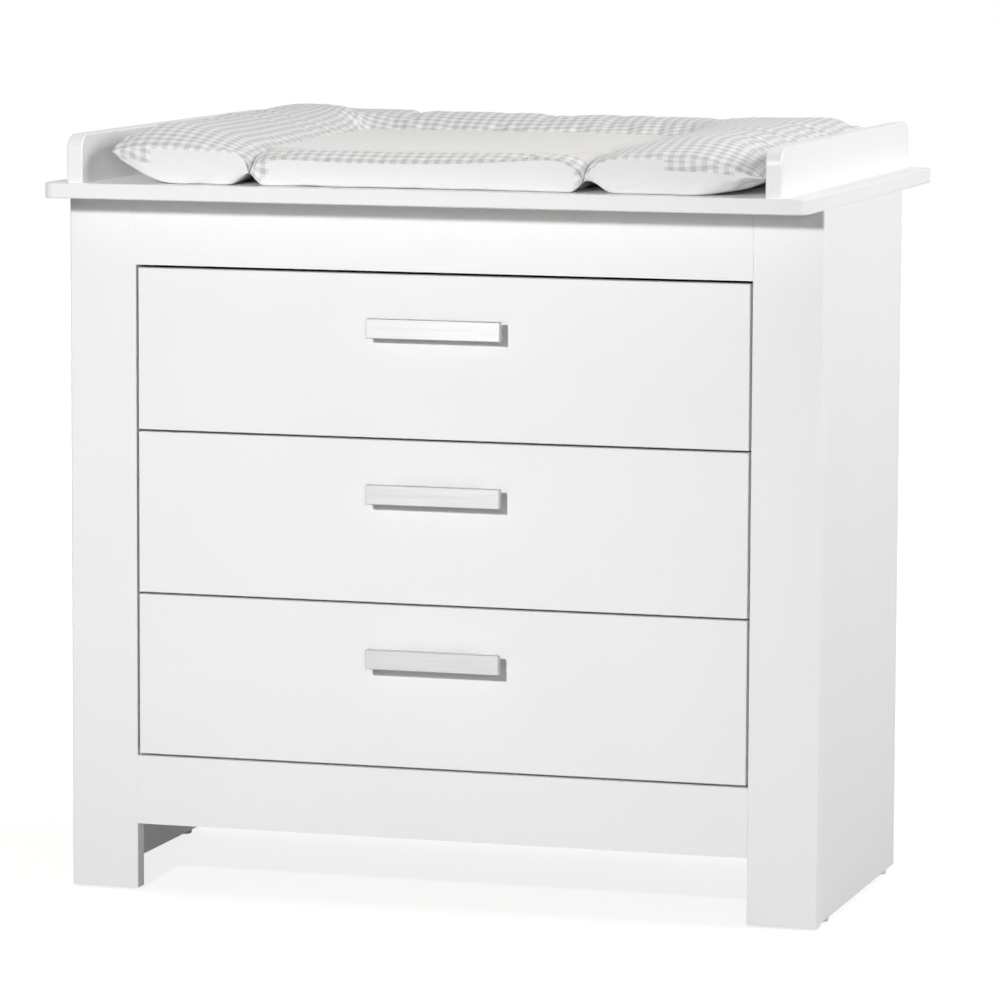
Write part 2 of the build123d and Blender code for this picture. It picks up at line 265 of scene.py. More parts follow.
def planed_beech(base):
    """Planed beech: pale, with darker flecks along the grain, 6 mm apart and 50 mm long."""
    material, tree, shader = new_material("Planed beech", base, 0.6)
    fleck = add_node(tree, "ShaderNodeTexNoise", {"Scale": 1 / (6 * MM), "Detail": 3.0},
                     {"Vector": stretched(tree, (1, 1, 0.12))}).outputs["Fac"]
    tree.links.new(shades(tree, fleck, tone(base, 0.78), base), shader.inputs["Base Color"])
    bump(tree, shader, fleck, 0.05 * MM)
    return material


def powder_coat(base):
    """Powder coat on rolled steel: matt white with the pimpled skin of baked powder."""
    material, tree, shader = new_material("Powder-coated steel", base, 0.5)
    pimple = add_node(tree, "ShaderNodeTexNoise", {"Scale": 1 / (1.2 * MM), "Detail": 2.0},
                      {"Vector": stretched(tree, (1, 1, 1))}).outputs["Fac"]
    tree.links.new(shades(tree, pimple, tone(base, 0.94), base), shader.inputs["Base Color"])
    tree.links.new(span(tree, pimple, 0.44, 0.56), shader.inputs["Roughness"])
    bump(tree, shader, pimple, 0.03 * MM)
    return material


def brushed_aluminium(base):
    """Anodised aluminium, brushed along the bar: long streaks about 1 mm apart, drawn wider
    than the real scratches so that they show."""
    material, tree, shader = new_material("Brushed anodised aluminium", base, 0.34, Metallic=0.92)
    streak = add_node(tree, "ShaderNodeTexNoise", {"Scale": 1 / (1.1 * MM), "Detail": 3.0},
                      {"Vector": stretched(tree, (0.012, 1, 1))}).outputs["Fac"]
    tree.links.new(shades(tree, streak, tone(base, 0.93), base), shader.inputs["Base Color"])
    tree.links.new(span(tree, streak, 0.3, 0.46), shader.inputs["Roughness"])
    bump(tree, shader, streak, 0.02 * MM)
    return material


def zinc_plate(base):
    """Bright zinc plate on a pressed screw: metallic, softly mottled where it was barrelled."""
    material, tree, shader = new_material("Zinc-plated steel", base, 0.32, Metallic=1.0)
    mottle = add_node(tree, "ShaderNodeTexNoise", {"Scale": 1 / (1.5 * MM), "Detail": 2.0},
                      {"Vector": stretched(tree, (1, 1, 1))}).outputs["Fac"]
    tree.links.new(shades(tree, mottle, tone(base, 0.85), base), shader.inputs["Base Color"])
    tree.links.new(span(tree, mottle, 0.26, 0.42), shader.inputs["Roughness"])
    bump(tree, shader, mottle, 0.01 * MM)
    return material


# ---- Cloths ----
SOFT_EDGE = 0.18  # share of a stripe's wave over which it fades out, about half a thread


def stripes(tree, axis, pitch):
    """1 on the dyed half of each repeat and 0 on the white half, with a soft edge."""
    turns = add_node(tree, "ShaderNodeMath", {"operation": "MULTIPLY", 1: math.tau / pitch},
                     {0: axis}).outputs[0]
    wave = add_node(tree, "ShaderNodeMath", {"operation": "SINE"}, {0: turns}).outputs[0]
    edge = add_node(tree, "ShaderNodeMapRange", {"From Min": -SOFT_EDGE, "From Max": SOFT_EDGE},
                    {"Value": wave})
    return edge.outputs["Result"]


def weave_height(tree, across, along, thread):
    """Plain weave: threads that pass over each other by turns."""
    waves = []
    for axis in (across, along):
        turns = add_node(tree, "ShaderNodeMath",
                         {"operation": "MULTIPLY", 1: math.pi / thread}, {0: axis}).outputs[0]
        waves.append(add_node(tree, "ShaderNodeMath", {"operation": "SINE"},
                              {0: turns}).outputs[0])
    return add_node(tree, "ShaderNodeMath", {"operation": "MULTIPLY"},
                    {0: waves[0], 1: waves[1]}).outputs[0]


def cloth_axes(tree):
    """Distances in metres across and along the cloth, from its own map."""
    place = add_node(tree, "ShaderNodeUVMap", {"uv_map": "Cloth"})
    parts = add_node(tree, "ShaderNodeSeparateXYZ", links={"Vector": place.outputs["UV"]})
    return parts.outputs["X"], parts.outputs["Y"]


def woven_check(colours, mat):
    """Cotton gingham, yarn-dyed and woven plain: white, half-grey and grey squares, a little
    uneven from thread to thread, with a soft dry surface."""
    material, tree, shader = new_material("Cotton gingham", colours.check_white, 0.85,
                                          Sheen_Weight=0.15)
    across, along = cloth_axes(tree)
    both = add_node(tree, "ShaderNodeMath", {"operation": "ADD"},
                    {0: stripes(tree, across, mat.check_pitch),
                     1: stripes(tree, along, mat.check_pitch)}).outputs[0]
    half = add_node(tree, "ShaderNodeMath", {"operation": "MULTIPLY", 1: 0.5},
                    {0: both}).outputs[0]
    threads = weave_height(tree, across, along, mat.thread)
    uneven = add_node(tree, "ShaderNodeMath", {"operation": "MULTIPLY_ADD", 1: 0.06},
                      {0: threads, 2: half}).outputs[0]
    tree.links.new(shades(tree, uneven, colours.check_white, colours.check_grey, 0.03, 0.97),
                   shader.inputs["Base Color"])
    bump(tree, shader, threads, 0.12 * MM)
    return material


def plain_calico(colours, mat):
    """Plain white cotton: the same weave without dyed threads."""
    material, tree, shader = new_material("Plain white cotton", colours.calico, 0.88,
                                          Sheen_Weight=0.15)
    across, along = cloth_axes(tree)
    threads = weave_height(tree, across, along, mat.thread)
    lift = add_node(tree, "ShaderNodeMath", {"operation": "MULTIPLY_ADD", 1: 0.4, 2: 0.5},
                    {0: threads}).outputs[0]
    tree.links.new(shades(tree, lift, tone(colours.calico, 0.96), colours.calico),
                   shader.inputs["Base Color"])
    bump(tree, shader, threads, 0.1 * MM)
    return material


def spun_thread(base):
    """Sewing thread: white cotton with the slant of its twist, about 2 mm apart, drawn
    coarser than the real one so that it shows."""
    material, tree, shader = new_material("White sewing thread", base, 0.7)
    twist = add_node(tree, "ShaderNodeTexWave",
                     {"Scale": 1 / (5 * MM), "bands_direction": "DIAGONAL"},
                     {"Vector": stretched(tree, (1, 1, 1))}).outputs["Fac"]
    tree.links.new(shades(tree, twist, tone(base, 0.9), base), shader.inputs["Base Color"])
    bump(tree, shader, twist, 0.1 * MM)
    return material


def looped_terry(colours, mat):
    """Terry: short uncut loops that scatter light, so it looks soft and a little uneven."""
    material, tree, shader = new_material("Cream terry", colours.terry, 0.95,
                                          Sheen_Weight=0.3)
    place = add_node(tree, "ShaderNodeUVMap", {"uv_map": "Cloth"}).outputs["UV"]
    loops = add_node(tree, "ShaderNodeTexVoronoi", {"Scale": 1 / mat.terry_loop},
                     {"Vector": place}).outputs["Distance"]
    patch = add_node(tree, "ShaderNodeTexNoise", {"Scale": 1 / (30 * MM), "Detail": 3.0},
                     {"Vector": place}).outputs["Fac"]
    both = add_node(tree, "ShaderNodeMath", {"operation": "MULTIPLY_ADD", 1: 0.5},
                    {0: loops, 2: patch}).outputs[0]
    tree.links.new(shades(tree, both, tone(colours.terry, 0.88), colours.terry, 0.3, 0.9),
                   shader.inputs["Base Color"])
    bump(tree, shader, loops, 0.5 * MM)
    return material


# ---- Mat ----
BOARD_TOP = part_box("changing_board")[1].z
LEFT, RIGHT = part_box("mat_left_bolster"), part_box("mat_right_bolster")
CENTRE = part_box("mat_centre")
FRONT, BACK = LEFT[0].y, LEFT[1].y
INNER_BACK = CENTRE[1].y
CROWDING = 0.9  # how strongly the cells crowd towards the seams
SEAM_GAP = 0.2 * MM  # between two pads along a shared seam
REST_GAP = 0.4 * MM  # between the mat and the board
FOLD_REACH = 12 * MM  # how far back from the front the check may be folded down
GATHERS = 42  # waves to the metre of the gathers beside a seam
GATHER_START = 6  # how steeply the gathers grow out of the seam
HOLLOWS = 14  # waves to the metre of the soft hollows on top
HOLLOW_DEPTH = 0.8 * MM
HOLLOW_START = Vector((3, 1, 7))
FLATTENED = 1.02  # the under sheet reaches the board a little before its slopes end


def at(x, y, height):
    """A point whose height above the changing board is given in millimetres."""
    return Vector((x, y, BOARD_TOP + height * MM))


def through(start, middle, end, t):
    """A value on the parabola through three values at 0, a half and 1."""
    return start * (1 - t) * (1 - 2 * t) + middle * 4 * t * (1 - t) + end * t * (2 * t - 1)


def bowed(start, middle, end):
    """A seam that curves through three points."""
    def point(t):
        return through(start, middle, end, t)
    return point


def blunt(start, end, heights, ends, forward=0.0):
    """A seam that climbs from both ends, the steeper the higher their powers, and between
    them runs at these heights and this far forward."""
    def point(t):
        share = 1 - abs(2 * t - 1) ** ends[t > 0.5]
        place = start.lerp(end, t)
        high = BOARD_TOP + through(*heights, t) * MM
        place.z += (high - place.z) * share
        place.y -= forward * MM * share
        return place
    return point


def pads():
    """Outline, filling and edges of each pad of the mat. The bolsters and the centre meet
    along shared seams, mitred at the rear corners. The edges are given left, right, front
    and rear, and the crown's heights from the front left corner round to the rear left.
    The folds say from where to where along the front, and how low, the check turns down.
    The cells are counted across and from front to rear, and the inner seams are the shared
    ones."""
    tip_l, tip_r = at(LEFT[0].x + 2 * MM, FRONT, 38), at(RIGHT[1].x + 1 * MM, FRONT, 22)
    slit_l, slit_r = at(LEFT[1].x, FRONT + 2 * MM, 14), at(RIGHT[0].x, FRONT + 2 * MM, 11)
    inner_l, inner_r = at(CENTRE[0].x, INNER_BACK, 40), at(CENTRE[1].x - 6 * MM, INNER_BACK, 42)
    corner_l, corner_r = at(LEFT[0].x, BACK, 42), at(RIGHT[1].x, BACK, 38)
    crease_l = blunt(slit_l, inner_l, (36, 41, 42), (12, 8))
    crease_r = blunt(slit_r, inner_r, (36, 41, 43), (12, 8))
    crease_rear = blunt(inner_l, inner_r, (41, 42, 43), (2, 2))
    mitre_l = blunt(inner_l, corner_l, (70, 70, 64), (6, 3))
    mitre_r = blunt(inner_r, corner_r, (62, 64, 56), (5, 3))
    return [
        {"name": "left_bolster_pad", "node": "mat_left_bolster",
         "front": blunt(tip_l, slit_l, (48, 45, 42), (4, 14), 4),
         "rear": reverse(mitre_l), "right": crease_l,
         "left": blunt(tip_l, corner_l, (54, 54, 48), (12, 8)),
         "crown": (68, 66, 71, 71),
         "top": ((66, 0.5), (135, 1), (110, 1), (36, 0.7)),
         "under": ((110, 0.6), (32, 0.6), (10, 0.5), (40, 0.5)),
         "cells": (28, 92), "fill": 0.7, "inner": ("right", "rear"),
         "folds": ((-392, -348, 29),)},
        {"name": "right_bolster_pad", "node": "mat_right_bolster",
         "front": blunt(slit_r, tip_r, (41, 45, 32), (8, 3), 4),
         "rear": mitre_r, "left": crease_r,
         "right": bowed(tip_r, at(RIGHT[1].x, 0, 36), corner_r),
         "crown": (61, 64, 65, 61),
         "top": ((140, 1), (105, 0.6), (110, 1), (40, 0.7)),
         "under": ((40, 0.8), (120, 0.6), (10, 0.5), (40, 0.5)),
         "cells": (32, 92), "fill": 0.7, "inner": ("left", "rear"),
         "folds": ((304, 430, 28),)},
        {"name": "rear_bolster_pad", "node": "mat_rear_bolster",
         "front": crease_rear, "left": mitre_l, "right": mitre_r,
         "rear": bowed(corner_l, at(0, BACK + 2 * MM, 40), corner_r),
         "crown": (61, 56, 60, 64),
         "top": ((40, 0.7), (40, 0.7), (85, 1), (66, 0.5)),
         "under": ((40, 0.5), (40, 0.5), (30, 0.5), (40, 0.5)),
         "cells": (100, 26), "fill": 0.75, "inner": ("front", "left", "right"), "folds": ()},
        {"name": "centre_pad", "node": "mat_centre",
         "front": blunt(slit_l, slit_r, (39, 33, 48), (14, 14), 3),
         "rear": crease_rear, "left": crease_l, "right": crease_r,
         "crown": (44, 44, 44, 44),
         "top": ((22, 0.5), (22, 0.5), (70, 1), (18, 0.5)),
         "under": ((18, 0.6), (22, 0.6), (9, 0.5), (30, 0.5)),
         "cells": (56, 70), "fill": 0.45, "inner": ("left", "right", "rear"),
         "folds": ((-225, -198, 8), (188, 205, 8))},
    ]


def reverse(seam):
    """The same seam, run the other way."""
    def point(t):
        return seam(1 - t)
    return point


def eased(count):
    """Steps from 0 to 1, closer together at both ends."""
    steps = []
    for i in range(count + 1):
        even = i / count
        steps.append(even * (1 - CROWDING) + CROWDING * (1 - math.cos(math.pi * even)) / 2)
    return steps


def seam_surface(pad, s, t):
    """The surface spanned by the four seams, s across and t to the rear."""
    front, rear, left, right = pad["front"], pad["rear"], pad["left"], pad["right"]
    sides = left(t) * (1 - s) + right(t) * s
    ends = front(s) * (1 - t) + rear(s) * t
    corners = (front(0) * (1 - s) * (1 - t) + front(1) * s * (1 - t)
               + rear(0) * (1 - s) * t + rear(1) * s * t)
    return sides + ends - corners


def rounded(distance, edge):
    """Rise of an edge of the given reach: 0 at the seam, 1 inwards of the reach. An exponent
    of 1 is a long slope and 0.5 is nearly a quarter round."""
    reach, exponent = edge
    share = min(max(distance / (reach * MM), 0.0), 1.0)
    return math.sin(math.pi / 2 * share) ** exponent


def distances(pad, s, t):
    """How far a place is from the left, right, front and rear seams."""
    width = (pad["right"](t) - pad["left"](t)).length
    depth = (pad["rear"](s) - pad["front"](s)).length
    return s * width, (1 - s) * width, t * depth, (1 - t) * depth


def bulge(pad, sheet, s, t):
    """How far a sheet stands off the seams, from 0 at a seam to 1 in the middle."""
    share = 1.0
    for distance, edge in zip(distances(pad, s, t), pad[sheet]):
        share *= rounded(distance, edge)
    return share


def seam_height(pad, s, t):
    """Height of the seams above the board, the nearest counting most."""
    heights = (pad["left"](t).z, pad["right"](t).z, pad["front"](s).z, pad["rear"](s).z)
    weights = [1 / (distance + 0.01 * MM) ** 2 for distance in distances(pad, s, t)]
    total = sum(weight * height for weight, height in zip(weights, heights))
    return total / sum(weights) - BOARD_TOP


def crown(pad, s, t):
    """Height of the filled pad above the board."""
    fl, fr, rr, rl = pad["crown"]
    front = fl + (fr - fl) * s
    rear = rl + (rr - rl) * s
    return (front + (rear - front) * t) * MM


def sheet_point(pad, s, t, top, pucker):
    """A place on the top or the under sheet, s across and t to the rear."""
    seam = seam_surface(pad, s, t)
    rise = seam_height(pad, s, t)
    if top:
        share = bulge(pad, "top", s, t)
        gather = noise.noise(seam * GATHERS) * pucker * (1 - share) * min(1, share * GATHER_START)
        height = rise + (crown(pad, s, t) - rise) * share + gather
        slack = noise.noise(seam * HOLLOWS + HOLLOW_START) * HOLLOW_DEPTH * share
        return Vector((seam.x, seam.y, BOARD_TOP + height + slack))
    share = min(1.0, FLATTENED * bulge(pad, "under", s, t))
    return Vector((seam.x, seam.y, BOARD_TOP + max(REST_GAP, rise * (1 - share))))


def folded(pad, place):
    return place.y < FRONT + FOLD_REACH and any(
        low * MM < place.x < high * MM and place.z > BOARD_TOP + least * MM
        for low, high, least in pad["folds"])


def lay(shell, pad, steps, pucker, rim=None):
    """The corners of one sheet's cells. The under sheet takes over the top sheet's rim."""
    across, along = steps
    rows = []
    for j, t in enumerate(along):
        row = []
        for i, s in enumerate(across):
            edge = on_rim(steps, i, j)
            if edge and rim:
                row.append(rim[j][i])
            else:
                place = (seam_surface(pad, s, t) if edge
                         else sheet_point(pad, s, t, rim is None, pucker))
                row.append(shell.verts.new(place))
        rows.append(row)
    return rows


def on_rim(steps, i, j):
    """Whether a corner lies on the seam that closes the pad."""
    across, along = steps
    return i in (0, len(across) - 1) or j in (0, len(along) - 1)


def cloth_of(pad, face, top, front_strip):
    """Which cloth a cell is cut from: 0 the check, 1 the calico or 2 the terry."""
    middle = face.calc_center_median()
    if not top:
        return 0 if folded(pad, middle) else 1
    return 2 if pad["node"] == "mat_centre" and middle.y > FRONT + front_strip else 0


def sew(pad, mat):
    """Two sheets of cloth, closed along one seam all round, with a map in real metres."""
    steps = eased(pad["cells"][0]), eased(pad["cells"][1])
    shell = bmesh.new()
    top_sheet = lay(shell, pad, steps, mat.pucker)
    under_sheet = lay(shell, pad, steps, mat.pucker, top_sheet)
    cloth_map = shell.loops.layers.uv.new("Cloth")
    for grid, top in ((top_sheet, True), (under_sheet, False)):
        across_map, along_map = unrolled(grid)
        for j in range(len(grid) - 1):
            for i in range(len(grid[0]) - 1):
                ring = [(j, i), (j, i + 1), (j + 1, i + 1), (j + 1, i)]
                if not top:
                    ring.reverse()
                face = shell.faces.new([grid[a][b] for a, b in ring])
                face.smooth = True
                for loop, (a, b) in zip(face.loops, ring):
                    loop[cloth_map].uv = (across_map[a][b], along_map[a][b])
                face.material_index = cloth_of(pad, face, top, mat.front_strip)
    mesh = bpy.data.meshes.new(pad["name"])
    shell.to_mesh(mesh)
    shell.free()
    piece = bpy.data.objects.new(pad["name"], mesh)
    bpy.context.scene.collection.objects.link(piece)
    across, along = steps
    seam = piece.vertex_groups.new(name="seam")
    seam.add([j * len(across) + i for j in range(len(along)) for i in range(len(across))
              if on_rim(steps, i, j)], 1.0, "REPLACE")
    return piece


def unrolled(grid):
    """Distances along the cloth, counted both ways from its middle row and column."""
    rows, columns = len(grid), len(grid[0])
    mid_row, mid_column = rows // 2, columns // 2
    across = [[0.0] * columns for _ in range(rows)]
    along = [[0.0] * columns for _ in range(rows)]
    for j in range(rows):
        across[j][mid_column] = grid[j][mid_column].co.x
        for step, stop in ((1, columns), (-1, -1)):
            for i in range(mid_column + step, stop, step):
                gap = (grid[j][i].co - grid[j][i - step].co).length
                across[j][i] = across[j][i - step] + step * gap
    for i in range(columns):
        along[mid_row][i] = grid[mid_row][i].co.y
        for step, stop in ((1, rows), (-1, -1)):
            for j in range(mid_row + step, stop, step):
                gap = (grid[j][i].co - grid[j - step][i].co).length
                along[j][i] = along[j - step][i] + step * gap
    return across, along


FILLING_FRAMES = 20  # long enough for the cloth to come to rest


def fill(piece, mat, tightness):
    """Blow the cloth up a little, so that it stands in soft gathers off its seams."""
    most = mat.swell * tightness
    started = [v.co.copy() for v in piece.data.vertices]
    cloth = piece.modifiers.new("Filling", "CLOTH")
    cloth.settings.quality = 6
    cloth.settings.mass = 0.2
    cloth.settings.tension_stiffness = 15
    cloth.settings.compression_stiffness = 15
    cloth.settings.shear_stiffness = 5
    cloth.settings.bending_stiffness = 0.4
    cloth.settings.use_pressure = True
    cloth.settings.uniform_pressure_force = mat.pressure
    cloth.settings.effector_weights.gravity = 0
    cloth.settings.vertex_group_mass = "seam"
    cloth.settings.shrink_min = -0.025
    cloth.collision_settings.use_collision = False
    cloth.point_cache.frame_start = 1
    cloth.point_cache.frame_end = FILLING_FRAMES
    for number in range(1, FILLING_FRAMES + 1):
        bpy.context.scene.frame_set(number)
    pick(piece)
    bpy.ops.object.modifier_apply(modifier=cloth.name)
    for vertex, start in zip(piece.data.vertices, started):
        moved = vertex.co - start
        if moved.length > most:
            vertex.co = start + moved * (most / moved.length)
    bpy.context.scene.frame_set(1)


def settle(piece, pad):
    """Rest the pad on the board, and keep it on its own side of the seams it shares."""
    middle = seam_surface(pad, 0.5, 0.5)
    walls = []
    for key in pad["inner"]:
        start, end = pad[key](0), pad[key](1)
        run = Vector((end.x - start.x, end.y - start.y, 0)).normalized()
        inward = Vector((-run.y, run.x, 0))
        if inward.dot(middle - start) < 0:
            inward.negate()
        walls.append((start, inward))
    for vertex in piece.data.vertices:
        vertex.co.z = max(vertex.co.z, BOARD_TOP + REST_GAP)
        for start, inward in walls:
            short = SEAM_GAP - inward.dot(vertex.co - start)
            if short > 0:
                vertex.co += inward * short


def smooth_once(piece):
    """Halve the cells, so that the folds come out round."""
    softened = piece.modifiers.new("Soft", "SUBSURF")
    softened.levels = softened.render_levels = 1
    pick(piece)
    bpy.ops.object.modifier_apply(modifier=softened.name)


class SewMat(bpy.types.Operator):
    """Sew and fill the four pads of the mat"""
    bl_idname = "changing_table.sew_mat"
    bl_label = "Sew the mat"

    def execute(self, context):
        mat, colours = context.scene.table_mat, context.scene.table_colours
        cloths = [woven_check(colours, mat), plain_calico(colours, mat),
                  looped_terry(colours, mat)]
        for pad in pads():
            piece = sew(pad, mat)
            for cloth in cloths:
                piece.data.materials.append(cloth)
            fill(piece, mat, pad["fill"])
            settle(piece, pad)
            smooth_once(piece)
            piece.vertex_groups.clear()
            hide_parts(pad["node"])
            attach(piece, "mat")
        return {"FINISHED"}


class TackCorners(bpy.types.Operator):
    """Sew two tacks of white thread at each inner corner of the mat"""
    bl_idname = "changing_table.tack_corners"
    bl_label = "Tack the corners"
    SPOTS = (0.0, 0.13)  # along the mitre, from the inner corner
    LOOPS = 5
    THREAD = 0.5 * MM  # radius
    SPACING = 0.9 * MM
    STAGGER = 0.6 * MM  # how much higher every other loop lies

    def execute(self, context):
        sizes = context.scene.table_mat
        thread = spun_thread(context.scene.table_colours.calico)
        pattern = self.tack(sizes)
        pattern.data.materials.append(thread)
        rear = next(pad for pad in pads() if pad["node"] == "mat_rear_bolster")
        for side in ("left", "right"):
            mitre = rear[side]
            for number, along in enumerate(self.SPOTS):
                piece = bpy.data.objects.new(f"mat_tack_{side}_{number}", pattern.data.copy())
                context.scene.collection.objects.link(piece)
                run = mitre(along + 0.05) - mitre(along)
                turn = Matrix.Rotation(math.atan2(run.y, run.x), 4, "Z")
                piece.data.transform(Matrix.Translation(mitre(along)) @ turn)
                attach(piece, "mat")
        bpy.data.objects.remove(pattern)
        return {"FINISHED"}

    def tack(self, sizes):
        """Loops of thread laid side by side across the crease."""
        loops = []
        for number in range(self.LOOPS):
            sideways = (number - self.LOOPS // 2) * self.SPACING
            deselect()
            bpy.ops.mesh.primitive_torus_add(
                major_segments=28, minor_segments=8, major_radius=sizes.tack / 2,
                minor_radius=self.THREAD, rotation=(0, math.pi / 2, 0),
                location=(sideways, 0, self.STAGGER * (number % 2)))
            loop = bpy.context.object
            loop.scale.x = 0.8
            bpy.ops.object.transform_apply(location=True, rotation=True, scale=True)
            loops.append(loop)
        deselect()
        for loop in loops:
            loop.select_set(True)
        bpy.context.view_layer.objects.active = loops[0]
        bpy.ops.object.join()
        bpy.ops.object.shade_smooth()
        return loops[0]


# ---- Finishes on the CAD nodes ----
class FinishBoards(bpy.types.Operator):
    """Lacquer, foil and paint on the boards"""
    bl_idname = "changing_table.finish_boards"
    bl_label = "Finish the boards"

    def execute(self, context):
        colours = context.scene.table_colours
        coat(sprayed_lacquer(colours.lacquer), "front_post_left", "front_post_right", "top_rail",
             "bottom_rail", "side_rail_left", "side_rail_right", *per_drawer("front"))
        coat(pressed_foil(colours.foil), "side_panel_left", "side_panel_right",
             "inner_upright_left", "inner_upright_right", "bottom_panel", "front_stretcher",
             "rear_stretcher", "changing_board",
             *per_drawer("side_left", "side_right", "back"))
        coat(painted_hardboard(colours.hardboard), "back_panel", *per_drawer("bottom"))
        coat(moulded("Extruded white strip", colours.hardboard, 0.5, 2 * MM),
             "back_joining_strip")
        coat(moulded("Moulded glide", colours.nylon, 0.55, 1.5 * MM), "floor_glides")
        coat(planed_beech(colours.tongue), "front_frame_tongues", "panel_tongues",
             "side_rail_tongues")
        return {"FINISHED"}


class FinishMetal(bpy.types.Operator):
    """Powder coat, nylon and brushed aluminium"""
    bl_idname = "changing_table.finish_metal"
    bl_label = "Finish the runners and handles"

    def execute(self, context):
        colours = context.scene.table_colours
        coat(powder_coat(colours.steel_paint), "cabinet_runners", *per_drawer("runners"))
        coat(moulded("Turned nylon", colours.nylon, 0.4, 1.2 * MM),
             *per_drawer("front_rollers", "rear_rollers"))
        coat(brushed_aluminium(colours.aluminium), *per_drawer("handle"))
        return {"FINISHED"}


# ---- Screws ----
class DriveScrews(bpy.types.Operator):
    """Pan-head screws: behind the handles, under the drawer sides and under the stretchers"""
    bl_idname = "changing_table.drive_screws"
    bl_label = "Drive the screws"
    HANDLE_FOOT = 64 * MM  # from the middle of a handle to each foot
    RUNNER_SHEET = 1.2 * MM
    RECESS_DEPTH, RECESS_WIDTH = 0.8 * MM, 0.9 * MM
    DOMED = 0.55  # the share of a head's height that is rounded

    def execute(self, context):
        sizes = context.scene.table_screws
        metal = zinc_plate(context.scene.table_colours.zinc)
        pattern = self.screw_head(sizes)
        pattern.data.materials.append(metal)
        down = Matrix.Rotation(-math.pi / 2, 4, "X")
        for number in DRAWERS:
            for place in self.handle_screws(number):
                self.drive(pattern, f"drawer_{number}_screw", Matrix.Translation(place),
                           f"drawer_{number}")
            for place in self.runner_screws(number):
                self.drive(pattern, f"drawer_{number}_screw",
                           Matrix.Translation(place) @ down, f"drawer_{number}")
        for place in self.board_screws():
            self.drive(pattern, "board_screw", Matrix.Translation(place) @ down, "chest")
        bpy.data.objects.remove(pattern)
        return {"FINISHED"}

    def handle_screws(self, number):
        """Places behind a drawer front, in line with the feet of its handle."""
        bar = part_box(f"drawer_{number}_handle")
        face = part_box(f"drawer_{number}_front")[1].y
        height = (bar[0].z + bar[1].z) / 2
        return [Vector((side * self.HANDLE_FOOT, face, height)) for side in (-1, 1)]

    def runner_screws(self, number):
        """Places under the flanges that carry the drawer sides."""
        places = []
        for side in ("left", "right"):
            low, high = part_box(f"drawer_{number}_side_{side}")
            for share in (0.2, 0.8):
                y = low.y + share * (high.y - low.y)
                places.append(Vector(((low.x + high.x) / 2, y, low.z - self.RUNNER_SHEET)))
        return places

    def board_screws(self):
        """Places under the stretchers, for the screws that hold the changing board."""
        places = []
        for name in ("front_stretcher", "rear_stretcher"):
            low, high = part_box(name)
            for share in (0.1, 0.9):
                x = low.x + share * (high.x - low.x)
                places.append(Vector((x, (low.y + high.y) / 2, low.z)))
        return places

    def drive(self, pattern, name, placing, body):
        """A copy of the screw in its place, on the body that it holds."""
        piece = bpy.data.objects.new(name, pattern.data.copy())
        bpy.context.scene.collection.objects.link(piece)
        piece.data.transform(placing)
        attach(piece, body)

    def screw_head(self, sizes):
        """A pan head facing the rear, with a cross recess."""
        deselect()
        bpy.ops.mesh.primitive_cylinder_add(
            vertices=32, radius=sizes.head_radius, depth=sizes.head_height,
            location=(0, sizes.head_height / 2, 0), rotation=(math.pi / 2, 0, 0))
        head = bpy.context.object
        bpy.ops.object.transform_apply(location=True, rotation=True, scale=True)
        bpy.ops.object.mode_set(mode="EDIT")
        bpy.ops.mesh.select_all(action="DESELECT")
        bpy.ops.object.mode_set(mode="OBJECT")
        top = sizes.head_height - 1e-6
        for edge in head.data.edges:
            edge.select = all(head.data.vertices[v].co.y > top for v in edge.vertices)
        bpy.ops.object.mode_set(mode="EDIT")
        bpy.ops.mesh.select_mode(type="EDGE")
        bpy.ops.mesh.bevel(offset=sizes.head_height * self.DOMED, segments=4, affect="EDGES")
        bpy.ops.object.mode_set(mode="OBJECT")
        for turn in (0, math.pi / 2):
            deselect()
            bpy.ops.mesh.primitive_cube_add(size=1, location=(0, sizes.head_height, 0),
                                            rotation=(0, turn + math.pi / 4, 0))
            blade = bpy.context.object
            blade.scale = (sizes.recess, 2 * self.RECESS_DEPTH, self.RECESS_WIDTH)
            bpy.ops.object.transform_apply(location=True, rotation=True, scale=True)
            cut = head.modifiers.new("Recess", "BOOLEAN")
            cut.object = blade
            cut.operation = "DIFFERENCE"
            pick(head)
            bpy.ops.object.modifier_apply(modifier=cut.name)
            bpy.data.objects.remove(blade)
        pick(head)
        bpy.ops.object.shade_smooth_by_angle(angle=math.radians(40))
        return head


